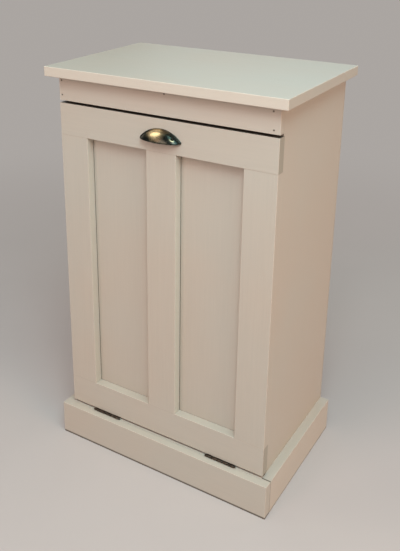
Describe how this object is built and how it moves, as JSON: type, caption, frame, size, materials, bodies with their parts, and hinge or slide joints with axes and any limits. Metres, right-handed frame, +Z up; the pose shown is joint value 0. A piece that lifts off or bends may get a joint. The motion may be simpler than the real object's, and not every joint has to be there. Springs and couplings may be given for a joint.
{
  "type": "tip-out waste bin cabinet",
  "caption": "Painted wooden cabinet with overhanging top, skirted base and a panelled door that tilts forward on bottom hinges, carrying a lift-out waste bin in a cradle.",
  "frame": {"origin": "on the floor, under the middle of the top board, which is the widest and deepest piece", "axes": "+Z up, the door faces -Y and tilts towards -Y, +X to the right seen by someone facing the back (+Y)"},
  "size_m": [0.505, 0.328, 0.8358],
  "materials": {
    "painted_wood": "brushed satin paint, warm off-white",
    "bare_pine": "unpainted softwood",
    "plywood": "clear plywood",
    "hardboard": "smooth hardboard",
    "antique_bronze": "dark antique bronze patina",
    "dark_hinge": "oil-rubbed bronze plating",
    "zinc_steel": "zinc plated",
    "bin_plastic": "fine-grained moulded plastic",
    "catch_plastic": "moulded plastic",
    "magnet": "sintered ferrite"
  },
  "bodies": {
    "root": {"top_board": "painted_wood", "left_side_panel": "painted_wood", "right_side_panel": "painted_wood", "header_board": "painted_wood", "front_bottom_rail": "painted_wood", "base_front_board": "painted_wood", "base_left_board": "painted_wood", "base_right_board": "painted_wood", "bottom_board": "painted_wood", "front_top_cleat": "bare_pine", "left_top_cleat": "bare_pine", "right_top_cleat": "bare_pine", "left_bottom_cleat": "bare_pine", "right_bottom_cleat": "bare_pine", "left_stop_cleat": "bare_pine", "right_stop_cleat": "bare_pine", "back_panel": "hardboard", "left_hinge_lower_leaf": "dark_hinge", "left_hinge_pin": "dark_hinge", "right_hinge_lower_leaf": "dark_hinge", "right_hinge_pin": "dark_hinge", "lower_hinge_screws": "dark_hinge", "header_brads": "zinc_steel", "base_brads": "zinc_steel", "back_pins": "zinc_steel", "stop_screws": "zinc_steel", "top_cleat_screws": "zinc_steel", "bottom_cleat_screws": "zinc_steel", "catch_screws": "zinc_steel", "catch_housing": "catch_plastic", "catch_magnet": "magnet"},
    "door": {"door_top_rail": "painted_wood", "door_bottom_rail": "painted_wood", "door_left_stile": "painted_wood", "door_right_stile": "painted_wood", "door_mullion": "painted_wood", "door_panel": "painted_wood", "cup_pull": "antique_bronze", "pull_screws": "zinc_steel", "left_hinge_upper_leaf": "dark_hinge", "right_hinge_upper_leaf": "dark_hinge", "upper_hinge_screws": "dark_hinge", "cradle_right_side": "plywood", "cradle_left_side": "plywood", "cradle_shelf": "plywood", "cradle_stop_slat": "bare_pine", "cradle_low_slat": "bare_pine", "cradle_screws": "zinc_steel", "cradle_brackets": "zinc_steel", "bracket_screws": "zinc_steel", "catch_strike": "zinc_steel", "strike_screw": "zinc_steel", "panel_pins": "zinc_steel", "frame_dowels": "bare_pine"},
    "bin": {"waste_bin": "bin_plastic"}
  },
  "joints": [
    {"name": "door_tilt", "type": "hinge", "parent": "root", "child": "door", "pos_m": [0, -0.147, 0.0788], "axis": [1, 0, 0], "range_deg": [0, 30]},
    {"name": "bin_lift", "type": "slide", "parent": "door", "child": "bin", "axis": [0, 0, 1], "range_m": [0, 0.09]}
  ]
}
